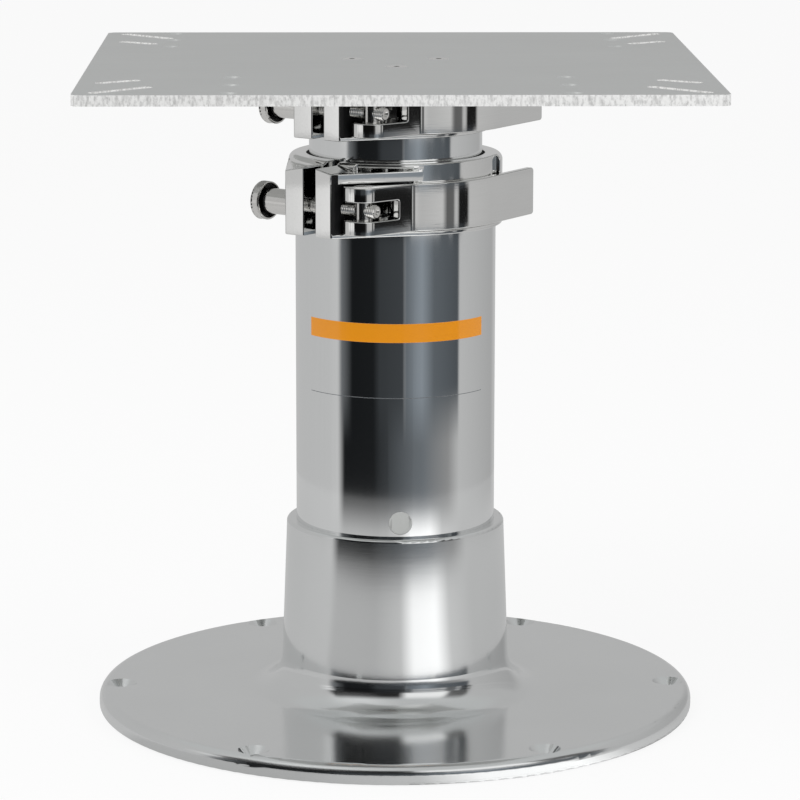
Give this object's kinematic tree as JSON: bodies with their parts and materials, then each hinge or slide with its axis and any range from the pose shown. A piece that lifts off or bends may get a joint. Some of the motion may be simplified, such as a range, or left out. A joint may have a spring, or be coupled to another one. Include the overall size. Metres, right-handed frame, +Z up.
{
  "type": "telescopic table pedestal",
  "caption": "Pedestal with a round floor flange, telescoping tubes locked by cam-lever clamps, and a square slotted plate that carries a table top.",
  "frame": {"origin": "centre of the base flange's underside, on the floor", "axes": "+Z up along the tubes, -Y towards the side with the clamp levers, +X to the right seen from there"},
  "size_m": [0.35, 0.35, 0.38],
  "materials": {
    "cast_aluminium": "satin polished casting",
    "tube_aluminium": "bright anodised drawn tube",
    "plate_aluminium": "satin sheet with sheared bright edges",
    "polished_clamp": "mirror polished casting",
    "polished_lever": "mirror polished stainless steel",
    "stainless_steel": "turned stainless steel",
    "knurled_steel": "diamond knurled stainless steel",
    "grey_plug": "moulded grey plastic",
    "black_nylon": "moulded black nylon",
    "white_nylon": "moulded natural nylon",
    "black_rubber": "moulded rubber"
  },
  "bodies": {
    "base": {"base_flange": "cast_aluminium", "outer_tube": "tube_aluminium", "tube_plug": "grey_plug", "buffer_ring": "black_rubber", "lower_collar": "polished_clamp", "lower_liner": "black_nylon", "lower_cam_pad": "black_nylon", "lower_barrel_nut": "stainless_steel", "lower_washer": "stainless_steel"},
    "lower_knob": {"lower_knob": "knurled_steel", "lower_stud": "stainless_steel"},
    "lower_lever": {"lower_lever": "polished_lever"},
    "middle_guide": {"middle_guide": "white_nylon"},
    "middle": {"middle_tube": "tube_aluminium", "upper_collar": "polished_clamp", "upper_liner": "black_nylon", "upper_cam_pad": "black_nylon", "upper_barrel_nut": "stainless_steel", "upper_washer": "stainless_steel"},
    "upper_knob": {"upper_knob": "knurled_steel", "upper_stud": "stainless_steel"},
    "upper_lever": {"upper_lever": "polished_lever"},
    "inner_guide": {"inner_guide": "white_nylon"},
    "top": {"inner_tube": "tube_aluminium", "tube_head": "tube_aluminium", "top_plate": "plate_aluminium", "plate_screws": "stainless_steel"}
  },
  "joints": [
    {"name": "lower_knob_turn", "type": "hinge", "parent": "base", "child": "lower_knob", "pos_m": [-0.04312, -0.05518, 0.3039], "axis": [0.788, -0.6157, 0], "range_deg": [-360, 360]},
    {"name": "lower_lever_open", "type": "hinge", "parent": "base", "child": "lower_lever", "pos_m": [-0.019, -0.07402, 0.3039], "axis": [0, 0, -1], "range_deg": [0, 120]},
    {"name": "middle_slide", "type": "slide", "parent": "base", "child": "middle_guide", "axis": [0, 0, 1], "range_m": [0, 0.17]},
    {"name": "middle_swivel", "type": "hinge", "parent": "middle_guide", "child": "middle", "pos_m": [0, 0, 0.3], "axis": [0, 0, 1], "continuous": true},
    {"name": "upper_knob_turn", "type": "hinge", "parent": "middle", "child": "upper_knob", "pos_m": [-0.03819, -0.04888, 0.358], "axis": [0.788, -0.6157, 0], "range_deg": [-360, 360]},
    {"name": "upper_lever_open", "type": "hinge", "parent": "middle", "child": "upper_lever", "pos_m": [-0.01408, -0.06772, 0.358], "axis": [0, 0, -1], "range_deg": [0, 120]},
    {"name": "inner_slide", "type": "slide", "parent": "middle", "child": "inner_guide", "axis": [0, 0, 1], "range_m": [0, 0.17]},
    {"name": "top_swivel", "type": "hinge", "parent": "inner_guide", "child": "top", "pos_m": [0, 0, 0.36], "axis": [0, 0, 1], "continuous": true}
  ]
}
